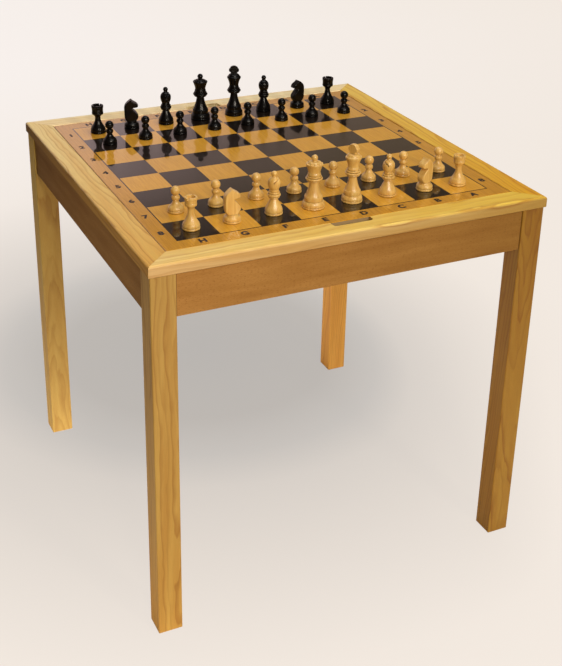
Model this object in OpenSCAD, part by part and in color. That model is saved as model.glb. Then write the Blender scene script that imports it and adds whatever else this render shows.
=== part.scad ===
// Wooden chess table: four legs, four aprons, mitred top rails, a lift-out chess board
// over a shallow tray, and a full set of turned chessmen standing on the board.
// The origin is on the floor under the middle of the table. +Z is up, the front is at -Y.

/* [Board] */
// Side of one square
square_size = 55; // [45:1:65]
// Plain border round the 64 squares
board_border = 23.5; // [20:0.5:40]
// Play between the board and the rails, on each side
board_play = 1; // [0.5:0.25:2]
// How far the board lies below the top of the rails
board_drop = 0.5; // [0.25:0.25:1.5]
// Eased upper arris of the board
board_arris = 0.8; // [0.3:0.1:1.5]

/* [Top rails] */
// Height of the table, floor to rail top
table_height = 538; // [400:1:760]
// Width of a rail, seen from above
rail_width = 33.5; // [30:0.5:60]
// Thickness of a rail
rail_thickness = 15; // [12:1:24]
// Rounding of the outer upper arris
rail_round = 3.5; // [1:0.5:6]
// Small chamfer on the other long arrises
rail_chamfer = 0.8; // [0.3:0.1:1.5]
// Open width of each mitre joint
mitre_gap = 0.2; // [0:0.1:0.5]
// Length of a finger slot
slot_length = 56; // [40:1:90]
// Depth of a finger slot into the rail
slot_depth = 12; // [8:0.5:16]

/* [Legs] */
// Side of a square leg
leg_width = 33; // [26:1:45]
// How far the rails stand out past the legs
rail_overhang = 2; // [0:0.5:8]
// Rounding of the four long arrises of a leg
leg_round = 1.8; // [0.5:0.1:4]
// Chamfer round the foot of a leg
foot_chamfer = 1.5; // [0.5:0.1:3]

/* [Aprons] */
// Depth of an apron below the rails
apron_depth = 57; // [50:1:110]
// Thickness of an apron
apron_thickness = 12; // [10:0.5:16]
// How far an apron lies behind the leg faces
apron_setback = 2; // [0.5:0.5:5]

/* [Inside the frame] */
// Width of a ledger strip under the board's edge
ledger_width = 26; // [24:1:34]
// Height of a ledger strip
ledger_height = 14; // [12:1:18]
// Gap in the front and back ledgers at the finger slots
ledger_gap = 84; // [70:1:120]
// Thickness of the tray floor
floor_thickness = 5; // [3:0.5:6]
// Height of the tray floor above the lower edge of the aprons
floor_lift = 6; // [5:0.5:12]
// Depth of the grooves that hold the tray floor
groove_depth = 5; // [3:0.5:6]
// Play of the tray floor in its grooves
floor_play = 0.2; // [0.1:0.05:0.4]
// Gap between the front and back ledgers' ends and the legs
ledger_end_gap = 3; // [1:0.5:6]
// Reach of a corner block along each apron, from the leg
block_reach = 38; // [32:1:60]

/* [Hardware] */
// Diameter of a hanger bolt
bolt_diameter = 6; // [5:0.5:8]
// Length of a hanger bolt
bolt_length = 58; // [55:1:60]
// Outside diameter of a washer
washer_diameter = 18; // [14:1:22]
// Thickness of a washer
washer_thickness = 1.6; // [1:0.2:2.4]
// Height of a wing nut's hub
nut_height = 6; // [5:0.5:8]
// Span over the wings of a wing nut
wing_span = 22; // [18:1:26]
// Shank diameter of a wood screw
screw_diameter = 3.5; // [3:0.1:4.5]
// Head diameter of a wood screw
screw_head = 7; // [6:0.5:9]

/* [Pawn] */
// Base diameter of a pawn
pawn_base = 20.8; // [16:0.2:26]
// Height of the belly above the foot
pawn_belly = 4.6; // [3:0.2:7]
// Height of the tapering stem
pawn_stem = 9.2; // [7:0.2:14]
// Diameter of the neck
pawn_neck = 7.4; // [5:0.2:9]
// Diameter of the collar
pawn_collar = 10.8; // [9:0.2:14]
// Height of the collar
pawn_collar_height = 5.2; // [3:0.2:7]
// Diameter of the ball head
pawn_ball = 12.4; // [10:0.2:15]

/* [Rook] */
// Base diameter of a rook
rook_base = 22.8; // [18:0.2:28]
// Height of the belly above the foot
rook_belly = 4.8; // [3:0.2:7]
// Height of the tapering stem
rook_stem = 14; // [10:0.5:18]
// Diameter of the neck
rook_neck = 8.2; // [6:0.2:11]
// Height of the neck, white rooks
rook_neck_height = 4.6; // [2:0.2:8]
// Height of the neck, black rooks
dark_rook_neck_height = 2.4; // [2:0.2:8]
// Diameter of the crown, white rooks
rook_crown = 16; // [13:0.2:20]
// Diameter of the crown, black rooks
dark_rook_crown = 17.6; // [13:0.2:20]
// Height of the cup and the ring under the crown
rook_cup = 8.6; // [6:0.2:11]
// Height of the crown, white rooks
rook_crown_height = 7; // [6:0.2:13]
// Height of the crown, black rooks
dark_rook_crown_height = 9.4; // [6:0.2:13]
// Depth of the hollow in the crown
rook_hollow = 4.6; // [3:0.2:6]
// Thickness of the crown's wall
rook_wall = 2.5; // [1.5:0.1:3.5]
// Width of a battlement notch
rook_notch = 2.4; // [1.5:0.1:3.5]
// Depth of a battlement notch
rook_notch_depth = 2.6; // [1.5:0.1:3]

/* [Knight] */
// Base diameter of a knight
knight_base = 22.6; // [18:0.2:28]
// Height of the belly above the foot
knight_belly = 4.8; // [3:0.2:7]
// Height of the neck above the belly
knight_neck_height = 2.7; // [1.5:0.1:5]
// Diameter of the round blank that the head is planed from
knight_blank = 22; // [18:0.2:26]
// Thickness of the planed head
knight_thickness = 11; // [8:0.5:14]
// Height of the head above the neck
knight_head = 33.2; // [28:0.2:40]

/* [Bishop] */
// Base diameter of a bishop
bishop_base = 23.2; // [18:0.2:30]
// Height of the belly above the foot
bishop_belly = 6; // [3:0.2:8]
// Height of the tapering stem
bishop_stem = 12.6; // [10:0.2:18]
// Diameter of the neck
bishop_neck = 8.8; // [6:0.2:11]
// Diameter of the collar
bishop_collar = 17; // [13:0.2:20]
// Height of the collar with its upper ring
bishop_collar_height = 11.8; // [9:0.2:15]
// Diameter of the egg shaped head
bishop_egg = 16; // [12:0.2:20]
// Diameter of the knob
bishop_knob = 7.4; // [5:0.2:9]
// Width of the slit in the head
bishop_slit = 1; // [0.8:0.1:2]
// Height of the slit's start above the middle of the egg
bishop_slit_rise = 1.2; // [0:0.1:3]

/* [Queen] */
// Base diameter of a queen
queen_base = 29.8; // [22:0.2:34]
// Height of the belly above the foot
queen_belly = 6.3; // [4:0.1:9]
// Height of the tapering stem
queen_stem = 26.4; // [18:0.2:30]
// Diameter of the neck
queen_neck = 11.4; // [8:0.2:14]
// Diameter of the collar and the coronet
queen_crown = 22.2; // [18:0.2:26]
// Height of the collar with its upper ring
queen_collar_height = 11; // [8:0.2:14]
// Diameter of the waist under the coronet
queen_waist = 15.8; // [12:0.2:18]
// Height of the coronet
queen_cup = 13.4; // [11:0.2:18]
// Diameter of the knob
queen_knob = 8.4; // [5:0.2:10]
// Number of notches in the coronet
queen_notches = 8; // [6:1:12]

/* [King] */
// Base diameter of a king
king_base = 27.8; // [22:0.2:34]
// Height of the belly above the foot
king_belly = 6.2; // [4:0.1:9]
// Height of the tapering stem
king_stem = 26.2; // [18:0.2:30]
// Diameter of the neck
king_neck = 10.4; // [8:0.2:14]
// Diameter of the collar and the crown
king_crown = 21.2; // [18:0.2:26]
// Height of the collar with its upper ring
king_collar_height = 11; // [8:0.2:14]
// Diameter of the waist under the crown
king_waist = 14; // [11:0.2:18]
// Height of the crown
king_cup = 15.2; // [12:0.2:18]
// Diameter of the finial
king_finial = 15.6; // [12:0.2:18]
// Thickness of the planed finial
king_finial_thickness = 6; // [4:0.5:8]

/* [Turning, all chessmen] */
// Height of the foot disc
foot_height = 3; // [2:0.2:4]
// How far the foot and the belly swell out of their grooves
swell = 0.8; // [0.5:0.1:1.5]

/* [Hidden] */
$fn = 48;
eps = 0.01;
fit = 0.1;
ranks = 8;

// frame, worked out from the board
field_half = ranks / 2 * square_size;
board_half = field_half + board_border;
opening_half = board_half + board_play;
rail_half = opening_half + rail_width;
leg_out = rail_half - rail_overhang;
leg_in = leg_out - leg_width;
leg_mid = (leg_out + leg_in) / 2;
apron_out = leg_out - apron_setback;
apron_in = apron_out - apron_thickness;
rail_bottom = table_height - rail_thickness;
apron_bottom = rail_bottom - apron_depth;
board_top = table_height - board_drop;
board_thickness = board_top - rail_bottom;
ledger_in = apron_in - ledger_width;
ledger_bottom = rail_bottom - ledger_height;
floor_bottom = apron_bottom + floor_lift;
floor_top = floor_bottom + floor_thickness;
floor_half = apron_in + groove_depth - floor_play;
block_bottom = floor_top + floor_play;
block_top = ledger_bottom - floor_play;
block_mid = (block_bottom + block_top) / 2;
block_end = leg_in - block_reach;
block_tip = 12;
slot_round = 5;

// hardware, measured out along the diagonal of each corner
block_face = (apron_in - block_tip + block_end) / sqrt(2);
nut_face = block_face - washer_thickness;
bolt_start = nut_face - nut_height - 3;
screw_radius = screw_diameter / 2;
screw_sink = 2.2;
screw_into_apron = apron_thickness - 4;
screw_into_rail = rail_thickness - 6;
side_screws = [-0.85, -0.38, 0.38, 0.85];
rail_screw_line = (opening_half + apron_in) / 2;

// where the chessmen stand off the middles of their squares, set by hand
white_back_off = [[0.1, -0.5], [-0.1, 0.4], [3.2, 3.7], [4, 3.4],
                  [4.7, 2.8], [2.7, 3], [3.5, 1.1], [0.1, -0.2]];
white_pawn_off = [[1.7, 1.5], [1.2, 1.8], [3.9, 4.6], [3.7, 4.7],
                  [6.1, 4.8], [6.1, 4.9], [3.5, 3.1], [2.6, -0.6]];
black_back_off = [[2.7, -0.1], [0.8, 2.5], [0.5, 2.1], [2.6, 4],
                  [3.3, 3.2], [-0.5, 4.4], [1.7, 0.4], [1.4, 1.4]];
black_pawn_off = [[3.3, 0.4], [3.8, 3], [3.8, 5.8], [4.1, 5.1],
                  [4.4, 7.4], [5.7, 5.6], [3.2, 5.9], [3.2, 3]];

// side view of a knight's head, nose towards +X, in shares of the blank's radius and the head's height
head_outline = [[-0.66, 0], [-0.9, 0.08], [-0.99, 0.18], [-1, 0.3], [-1, 0.68], [-0.92, 0.75],
                [-0.75, 0.82], [-0.5, 0.9], [-0.26, 0.965], [-0.13, 0.99], [-0.06, 1],
                [0.02, 0.985], [0.08, 0.955], [0.18, 0.935], [0.36, 0.9], [0.55, 0.865],
                [0.74, 0.825], [0.88, 0.785], [0.98, 0.745], [1, 0.7], [0.93, 0.68], [0.8, 0.665],
                [0.55, 0.652], [0.3, 0.645], [0.18, 0.625], [0.16, 0.585], [0.25, 0.542],
                [0.53, 0.452], [0.77, 0.361], [0.96, 0.273], [1, 0.227], [0.98, 0.16],
                [0.88, 0.09], [0.66, 0]];

back_names = ["rook_left", "knight_left", "bishop_left", "queen",
              "king", "bishop_right", "knight_right", "rook_right"];
side_names = ["front", "right", "back", "left"];
corner_names = ["front_right", "back_right", "back_left", "front_left"];

pine = "#dcae5a";
beech = "#b9834a";
plain_pine = "#d9b878";
plywood = "#cfae7c";
steel = "#b9bcc0";
boxwood = "#dcae62";
ebonised = "#1c1a19";

// placing

// turns what is made for the front side, or the front right corner, to side or corner k
module turn(k) {
    rotate([0, 0, 90 * k]) children();
}

// a solid of revolution from an outline of [radius, height] points
module lathe(outline) {
    rotate_extrude() polygon(outline);
}

// the frame

module rail(k) {
    low = rail_bottom;
    high = table_height;
    outer = -rail_half;
    inner = -opening_half;
    section = concat(
        [[inner - rail_chamfer, low], [inner, low + rail_chamfer], [inner, high - rail_chamfer],
         [inner - rail_chamfer, high]],
        [for (a = [90:15:180]) [outer + rail_round + rail_round * cos(a),
                                high - rail_round + rail_round * sin(a)]],
        [[outer, low + rail_chamfer], [outer + rail_chamfer, low]]
    );
    color(pine) turn(k) difference() {
        rotate([90, 0, 90]) linear_extrude(2 * rail_half, center = true) polygon(section);
        for (side = [-1, 1]) mitre_cut(side);
        if (k % 2 == 0) finger_slot();
        for (p = side_screws) rail_screw_place(p) screw_hole(ledger_height + screw_into_rail);
    }
}

// takes the rail's end away beyond its mitre
module mitre_cut(side) {
    reach = 2 * rail_half;
    corner = mitre_gap / 2;
    translate([0, 0, rail_bottom - 1]) linear_extrude(rail_thickness + 2)
        polygon([[side * -corner, 0], [side * (reach - corner), -reach], [side * reach, 0]]);
}

module finger_slot() {
    translate([0, -opening_half, rail_bottom - 1]) linear_extrude(rail_thickness + 2)
        slot_outline(slot_length, slot_depth);
}

// half of a long slot, open towards +Y, with its two far corners rounded
module slot_outline(long, deep) {
    translate([-long / 2 + slot_round, -deep]) square([long - 2 * slot_round, deep + 2]);
    translate([-long / 2, -deep + slot_round]) square([long, deep - slot_round + 2]);
    for (side = [-1, 1])
        translate([side * (long / 2 - slot_round), -deep + slot_round]) circle(slot_round);
}

module leg(k) {
    color(pine) turn(k) difference() {
        translate([leg_mid, -leg_mid, 0]) linear_extrude(rail_bottom) leg_section();
        for (q = [0:3]) foot_cut(q);
        bolt_line() translate([0, 0, bolt_start]) cylinder(h = bolt_length + 1, r = bolt_radius() + fit);
    }
}

function bolt_radius() = bolt_diameter / 2;

module leg_section() {
    inner = leg_width - 2 * leg_round;
    square([inner, leg_width], center = true);
    square([leg_width, inner], center = true);
    for (x = [-inner / 2, inner / 2]) for (y = [-inner / 2, inner / 2])
        translate([x, y]) circle(leg_round);
}

// bevels one of the four lower edges of a leg
module foot_cut(q) {
    side = foot_chamfer * sqrt(2);
    translate([leg_mid, -leg_mid, 0]) rotate([0, 0, 90 * q]) translate([leg_width / 2, 0, 0])
        rotate([0, 45, 0]) cube([side, leg_width + 2, side], center = true);
}

module apron(k) {
    long = 2 * leg_in;
    color(beech) turn(k) difference() {
        translate([-long / 2, -apron_out, apron_bottom]) cube([long, apron_thickness, apron_depth]);
        translate([-long / 2 - 1, -apron_in - groove_depth, floor_bottom - floor_play])
            cube([long + 2, groove_depth + 1, floor_thickness + 2 * floor_play]);
        for (p = side_screws) ledger_screw_place(p) screw_hole(ledger_width + screw_into_apron);
        for (side = [-1, 1]) block_screw_place(side) screw_hole(block_tip + screw_into_apron);
    }
}

// inside the frame

module ledger(k) {
    long = k % 2 == 0 ? leg_in - ledger_end_gap : min(ledger_in, leg_in) - fit;
    color(plain_pine) turn(k) difference() {
        translate([-long, -apron_in, ledger_bottom]) cube([2 * long, ledger_width, ledger_height]);
        if (k % 2 == 0)
            translate([-ledger_gap / 2, -apron_in - 1, ledger_bottom - 1])
                cube([ledger_gap, ledger_width + 2, ledger_height + 2]);
        for (p = side_screws) ledger_screw_place(p) screw_hole(ledger_width + 1);
        for (p = side_screws) rail_screw_place(p) screw_hole(ledger_height + 1);
    }
}

module tray_floor() {
    inset = leg_in - 2 * floor_play;
    color(plywood) translate([0, 0, floor_bottom]) linear_extrude(floor_thickness) {
        square([2 * floor_half, 2 * inset], center = true);
        square([2 * inset, 2 * floor_half], center = true);
    }
}

module block(k) {
    outline = [[apron_in, -leg_in], [leg_in, -leg_in], [leg_in, -apron_in],
               [block_end, -apron_in], [block_end, -apron_in + block_tip],
               [apron_in - block_tip, -block_end], [apron_in, -block_end]];
    color(plain_pine) difference() {
        turn(k) translate([0, 0, block_bottom]) linear_extrude(block_top - block_bottom) polygon(outline);
        turn(k) bolt_line() translate([0, 0, block_face - 5])
            cylinder(h = bolt_length, r = bolt_radius() + 3 * fit);
        turn(k) block_screw_place(1) screw_hole(block_tip + 1, block_tip);
        turn(k + 1) block_screw_place(-1) screw_hole(block_tip + 1, block_tip);
    }
}

// the run from the middle of the table out through the front right corner, along +Z
module bolt_line() {
    translate([0, 0, block_mid]) rotate([0, 90, -45]) children();
}

module hanger_bolts() {
    color(steel) for (k = [0:3]) turn(k) bolt_line()
        translate([0, 0, bolt_start]) cylinder(h = bolt_length, r = bolt_radius());
}

module washers() {
    color(steel) for (k = [0:3]) turn(k) bolt_line() translate([0, 0, nut_face]) difference() {
        cylinder(h = washer_thickness, d = washer_diameter);
        translate([0, 0, -1]) cylinder(h = washer_thickness + 2, r = bolt_radius() + 3 * fit);
    }
}

module wing_nuts() {
    hub = bolt_radius() + 2.5;
    color(steel) for (k = [0:3]) turn(k) bolt_line() translate([0, 0, nut_face - nut_height]) difference() {
        union() {
            cylinder(h = nut_height, r = hub);
            translate([-1.2, -wing_span / 2, -nut_height * 0.4])
                cube([2.4, wing_span, nut_height]);
        }
        translate([0, 0, -nut_height]) cylinder(h = 3 * nut_height, r = bolt_radius() + fit / 2);
    }
}

// screws

// a countersunk screw along +Z, its head level with z = 0
module screw(long) {
    lathe([[0, 0], [screw_head / 2, 0], [screw_radius, screw_sink], [screw_radius, long - 3], [0, long]]);
}

// the hole for such a screw, with a little room, open above its head
module screw_hole(long, above = 1) {
    lathe([[0, -above], [screw_head / 2 + fit, -above], [screw_head / 2 + fit, 0],
           [screw_radius + fit, screw_sink], [screw_radius + fit, long], [0, long]]);
}

// from the inner face of a front or side ledger out into the apron
module ledger_screw_place(p) {
    translate([p * ledger_in, -ledger_in, ledger_bottom + ledger_height * 0.35])
        rotate([90, 0, 0]) children();
}

// from below a ledger up into the rail
module rail_screw_place(p) {
    shift = 12;
    translate([p * ledger_in - sign(p) * shift, -rail_screw_line, ledger_bottom]) children();
}

// from a corner block's end into the apron
module block_screw_place(side) {
    translate([side * (block_end + screw_head * 0.9), -apron_in + block_tip, block_mid])
        rotate([90, 0, 0]) children();
}

module ledger_screws() {
    color(steel) for (k = [0:3]) turn(k) for (p = side_screws)
        ledger_screw_place(p) screw(ledger_width + screw_into_apron - 1);
}

module rail_screws() {
    color(steel) for (k = [0:3]) turn(k) for (p = side_screws)
        rail_screw_place(p) screw(ledger_height + screw_into_rail - 2);
}

module block_screws() {
    color(steel) for (k = [0:3]) turn(k) for (side = [-1, 1])
        block_screw_place(side) screw(block_tip + screw_into_apron - 1);
}

// the board

module board() {
    low = rail_bottom;
    flat_half = board_half - board_arris;
    color(pine) intersection() {
        translate([-board_half, -board_half, low]) cube([2 * board_half, 2 * board_half, board_thickness]);
        for_both() rotate([90, 0, 0]) linear_extrude(4 * board_half, center = true)
            polygon([[-board_half, low - 1], [board_half, low - 1],
                     [board_half, board_top - board_arris], [flat_half, board_top],
                     [-flat_half, board_top], [-board_half, board_top - board_arris]]);
    }
}

// the overlap of a shape and the same shape turned by a quarter
module for_both() {
    intersection() {
        children();
        rotate([0, 0, 90]) children();
    }
}

// turned outlines, as lists of [radius, height]

// a half round that swells out of the radius r between two heights
function bead(r, z0, z1, out, n = 8) =
    [for (i = [0:n]) let (a = 180 * i / n) [r + out * sin(a), z0 + (z1 - z0) * (1 - cos(a)) / 2]];

// a stem that tapers from r0 to r1; a curve of 1 is straight, more is hollow
function taper(r0, z0, r1, z1, curve, n = 9) =
    [for (i = [0:n]) let (t = i / n) [r1 + (r0 - r1) * pow(1 - t, curve), z0 + (z1 - z0) * t]];

// a stem that falls in from r0 to r1 like the side of a bell
function bell(r0, z0, r1, z1, n = 11) =
    [for (i = [0:n]) let (t = i / n) [r1 + (r0 - r1) * (1 + cos(180 * t)) / 2, z0 + (z1 - z0) * t]];

// a cup that widens from r0 to r1
function cup(r0, z0, r1, z1, n = 7) =
    [for (i = [0:n]) let (t = i / n) [r0 + (r1 - r0) * pow(t, 1.4), z0 + (z1 - z0) * t]];

// the part of a ball between two angles, stretched upwards where tall is over 1
function ball(r, zc, from, to = 90, tall = 1, n = 10) =
    [for (i = [0:n]) let (a = from + (to - from) * i / n) [max(0, r * cos(a)), zc + r * tall * sin(a)]];

// foot disc, groove and belly that every chessman stands on
function turned_foot(r, belly) = concat(
    [[0, 0]],
    bead(r - swell, 0, foot_height, swell),
    bead(r - 1.4 * swell, foot_height, foot_height + belly, swell)
);

// the step from the belly of a queen or king in to its stem
function shoulder(r, z) = [[r - 1.8 * swell, z + 1.2 * swell], [r - 3.2 * swell, z + 1.6 * swell]];

// a wide half round and a narrow ring on top of it, under the head
function collar(r, waist, z0, tall) = concat(
    bead(r * 0.72, z0 + tall * 0.03, z0 + tall * 0.72, r * 0.28),
    bead(waist, z0 + tall * 0.72, z0 + tall, r * 0.06)
);

// puts a man on the square in the given row, counted from the front, and column, from the left
module stand(row, column, off) {
    middle = (ranks - 1) / 2;
    translate([(column - middle) * square_size + off[0],
               (row - middle) * square_size + off[1], board_top]) children();
}

// chessmen, each standing on z = 0

module pawn() {
    r = pawn_base / 2;
    head = pawn_ball / 2;
    neck = pawn_neck / 2;
    stem_low = foot_height + pawn_belly;
    stem_high = stem_low + pawn_stem;
    collar_high = stem_high + pawn_collar_height;
    lathe(concat(
        turned_foot(r, pawn_belly),
        taper(r - 2 * swell, stem_low + 0.4 * swell, neck, stem_high, 2),
        bead(neck + 0.5 * swell, stem_high, collar_high, pawn_collar / 2 - neck - 0.5 * swell),
        ball(head, collar_high + head * 1.05, -60)
    ));
}

module rook(crown, neck_height, crown_height) {
    r = rook_base / 2;
    neck = rook_neck / 2;
    stem_low = foot_height + rook_belly;
    stem_high = stem_low + rook_stem;
    neck_high = stem_high + neck_height;
    ring_low = neck_high + rook_cup / 2;
    crown_low = neck_high + rook_cup;
    top = crown_low + crown_height;
    edge = crown * 0.06;
    difference() {
        lathe(concat(
            turned_foot(r, rook_belly),
            taper(r - 1.4 * swell, stem_low + 0.4 * swell, neck, stem_high, 1.7),
            cup(neck, neck_high, crown * 0.8, ring_low),
            bead(crown * 0.88, ring_low, crown_low, crown * 0.08),
            [[crown * 0.93, crown_low], [crown * 0.94, crown_low + crown_height * 0.4],
             [crown, top - 2 * edge], [crown, top - edge], [crown - edge, top]],
            [[crown - rook_wall, top], [crown - rook_wall, top - rook_hollow], [0, top - rook_hollow]]
        ));
        for (a = [45, 135]) rotate([0, 0, a])
            translate([-crown - 1, -rook_notch / 2, top - rook_notch_depth])
                cube([2 * crown + 2, rook_notch, rook_notch_depth + 1]);
    }
}

module bishop() {
    r = bishop_base / 2;
    egg = bishop_egg / 2;
    neck = bishop_neck / 2;
    wide = bishop_collar / 2;
    knob = bishop_knob / 2;
    stem_low = foot_height + bishop_belly;
    stem_high = stem_low + bishop_stem;
    collar_high = stem_high + bishop_collar_height;
    centre = collar_high + egg;
    tall = 1.1;
    difference() {
        lathe(concat(
            turned_foot(r, bishop_belly),
            taper(r - 1.6 * swell, stem_low + 0.2 * swell, neck, stem_high, 1.15),
            collar(wide, egg * 0.69, stem_high, bishop_collar_height),
            [for (a = [-42:7:-7]) [egg * cos(a), centre + egg * 1.45 * sin(a)]],
            [for (a = [0:6:66]) [egg * cos(a), centre + egg * tall * sin(a)]],
            ball(knob, centre + egg * tall + knob * 0.9, -45)
        ));
        translate([0, 0, centre + bishop_slit_rise]) rotate([0, -37, 0])
            translate([0, -egg, -bishop_slit / 2]) cube([2 * egg, 2 * egg, bishop_slit]);
    }
}

module queen() {
    r = queen_base / 2;
    crown = queen_crown / 2;
    waist = queen_waist / 2;
    knob = queen_knob / 2;
    stem_low = foot_height + queen_belly;
    stem_high = stem_low + queen_stem;
    collar_high = stem_high + queen_collar_height;
    rim = collar_high + queen_cup;
    edge = crown * 0.12;
    difference() {
        lathe(concat(
            turned_foot(r, queen_belly),
            shoulder(r, stem_low),
            bell(r - 3.6 * swell, stem_low + 2 * swell, queen_neck / 2, stem_high),
            collar(crown, waist, stem_high, queen_collar_height),
            cup(waist, collar_high + queen_cup * 0.14, crown - edge / 3, rim - 2 * edge),
            [[crown, rim - edge], [crown, rim - edge / 2], [crown - edge / 2, rim],
             [crown - edge * 1.5, rim - edge / 4]],
            [for (a = [0:15:90]) [knob * 0.8 + (crown - edge * 1.7 - knob * 0.8) * cos(a),
                                  rim - edge / 4 + crown * 0.26 * sin(a)]],
            ball(knob, rim + crown * 0.24 + knob, -40)
        ));
        for (i = [1:queen_notches]) rotate([0, 0, 360 * i / queen_notches])
            translate([crown * 0.7, 0, rim + edge / 2]) rotate([0, 90, 0])
                cylinder(h = crown, r = crown * 0.16, $fn = 24);
    }
}

module king() {
    r = king_base / 2;
    crown = king_crown / 2;
    waist = king_waist / 2;
    finial_foot = king_finial * 0.33;
    stem_low = foot_height + king_belly;
    stem_high = stem_low + king_stem;
    collar_high = stem_high + king_collar_height;
    rim = collar_high + king_cup;
    edge = crown * 0.16;
    dome_high = rim + crown * 0.36;
    lathe(concat(
        turned_foot(r, king_belly),
        shoulder(r, stem_low),
        bell(r - 3.4 * swell, stem_low + 2 * swell, king_neck / 2, stem_high),
        collar(crown, waist, stem_high, king_collar_height),
        cup(waist, collar_high + king_cup * 0.14, crown - edge / 2, rim - 2 * edge),
        bead(crown - edge / 2, rim - 2 * edge, rim, edge / 2),
        [for (i = [1:6]) let (a = 15 * i) [finial_foot + (crown - edge - finial_foot) * cos(a),
                                           rim + (dome_high - rim) * sin(a)]],
        [[0, dome_high]]
    ));
    translate([0, 0, dome_high - king_finial * 0.06]) finial(king_finial / 2);
}

// a turned knob with a ring round it, its front and back planed flat
module finial(wide) {
    outline = [[0, 0], [0.64, 0], [0.66, 0.42], [0.84, 0.54], [0.97, 0.66], [1, 0.76], [1, 1.02],
               [0.96, 1.12], [0.82, 1.2], [0.79, 1.34], [0.66, 1.54], [0.4, 1.7], [0, 1.76]];
    intersection() {
        lathe(outline * wide);
        translate([-2 * wide, -king_finial_thickness / 2, -1])
            cube([4 * wide, king_finial_thickness, 3 * wide]);
    }
}

module knight() {
    r = knight_base / 2;
    blank = knight_blank / 2;
    neck = r * 0.66;
    neck_low = foot_height + knight_belly;
    neck_high = neck_low + knight_neck_height;
    lathe(concat(turned_foot(r, knight_belly),
                 [[neck + 0.4 * swell, neck_low + 0.5 * swell], [neck, neck_high], [0, neck_high]]));
    translate([0, 0, neck_high - eps]) intersection() {
        head_blank(blank, neck);
        rotate([90, 0, 0]) linear_extrude(knight_thickness, center = true)
            polygon([for (p = head_outline) [blank * p[0], knight_head * p[1]]]);
    }
}

// the round blank that the head is cut from
module head_blank(r, neck) {
    high = knight_head;
    lathe(concat([[0, 0]],
        [for (i = [0:6]) let (t = i / 6) [neck + (r - neck) * sin(90 * t), high * 0.2 * t]],
        [[r, high * 0.68], [r * 0.86, high * 0.92], [r * 0.6, high + 1], [0, high + 1]]));
}
// one man of the back rank; k counts from the left, dark is 0 for the natural side
module back_man(k, dark) {
    if (k == 0 || k == ranks - 1) rotate([0, 0, 20 * k])
        rook(dark ? dark_rook_crown / 2 : rook_crown / 2,
             dark ? dark_rook_neck_height : rook_neck_height,
             dark ? dark_rook_crown_height : rook_crown_height);
    if (k == 1) rotate([0, 0, dark ? -20 : -6]) knight();
    if (k == 6) rotate([0, 0, dark ? 190 : 198]) knight();
    if (k == 2) rotate([0, 0, -30]) bishop();
    if (k == 5) rotate([0, 0, 150]) bishop();
    if (k == 3) rotate([0, 0, 10]) queen();
    if (k == 4) rotate([0, 0, dark ? -20 : -70]) king();
}

module white_back(k) {
    color(boxwood) stand(0, k, white_back_off[k]) back_man(k, 0);
}

module white_pawn(k) {
    color(boxwood) stand(1, k, white_pawn_off[k]) pawn();
}

module black_back(k) {
    color(ebonised) stand(ranks - 1, k, black_back_off[k]) back_man(k, 1);
}

module black_pawn(k) {
    color(ebonised) stand(ranks - 2, k, black_pawn_off[k]) pawn();
}

board();
tray_floor();
hanger_bolts();
washers();
wing_nuts();
ledger_screws();
rail_screws();
block_screws();
for (k = [0:3]) rail(k);
for (k = [0:3]) apron(k);
for (k = [0:3]) ledger(k);
for (k = [0:3]) leg(k);
for (k = [0:3]) block(k);
for (k = [0:7]) white_back(k);
for (k = [0:7]) white_pawn(k);
for (k = [0:7]) black_back(k);
for (k = [0:7]) black_pawn(k);
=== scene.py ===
import math

import bpy
import numpy as np
from mathutils import Matrix, Vector


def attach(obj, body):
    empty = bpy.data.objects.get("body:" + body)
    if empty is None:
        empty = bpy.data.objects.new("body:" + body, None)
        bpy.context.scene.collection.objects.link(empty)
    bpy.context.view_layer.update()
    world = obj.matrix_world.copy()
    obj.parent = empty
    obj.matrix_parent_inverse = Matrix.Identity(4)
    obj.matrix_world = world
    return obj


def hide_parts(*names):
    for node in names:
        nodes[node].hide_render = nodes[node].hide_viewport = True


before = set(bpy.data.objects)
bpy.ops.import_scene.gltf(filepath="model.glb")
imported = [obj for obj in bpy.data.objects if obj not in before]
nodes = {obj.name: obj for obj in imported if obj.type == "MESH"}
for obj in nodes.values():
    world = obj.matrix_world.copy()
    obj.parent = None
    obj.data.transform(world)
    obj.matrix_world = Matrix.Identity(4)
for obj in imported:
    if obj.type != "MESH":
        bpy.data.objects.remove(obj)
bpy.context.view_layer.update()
mm = 0.001
print("frame loaded:", len(nodes), "nodes")


# turns an sRGB hex colour to the linear values that shaders take
def linear(hexText, alpha=1.0):
    values = [int(hexText[i:i + 2], 16) / 255 for i in (1, 3, 5)]
    values = [v / 12.92 if v <= 0.04045 else ((v + 0.055) / 1.055) ** 2.4 for v in values]
    return (*values, alpha)


# adds one node: its settings by name, its inputs as plain values or as sockets to link from
def add(tree, kind, settings=None, inputs=None):
    node = tree.nodes.new("ShaderNode" + kind)
    for key, value in (settings or {}).items():
        if key == "stops":
            ramp = node.color_ramp
            while len(ramp.elements) > 1:
                ramp.elements.remove(ramp.elements[-1])
            for i, (at, colour) in enumerate(value):
                stop = ramp.elements[0] if i == 0 else ramp.elements.new(at)
                stop.position = at
                stop.color = colour
        else:
            setattr(node, key, value)
    for key, value in (inputs or {}).items():
        if isinstance(value, bpy.types.NodeSocket):
            tree.links.new(value, node.inputs[key])
        else:
            node.inputs[key].default_value = value
    return node


# an empty node material; finishMaterial adds its output
def newMaterial(name):
    material = bpy.data.materials.new(name)
    material.use_nodes = True
    material.node_tree.nodes.clear()
    return material, material.node_tree


def finishMaterial(material, shader):
    add(material.node_tree, "OutputMaterial", inputs={"Surface": shader.outputs[0]})
    return material


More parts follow.
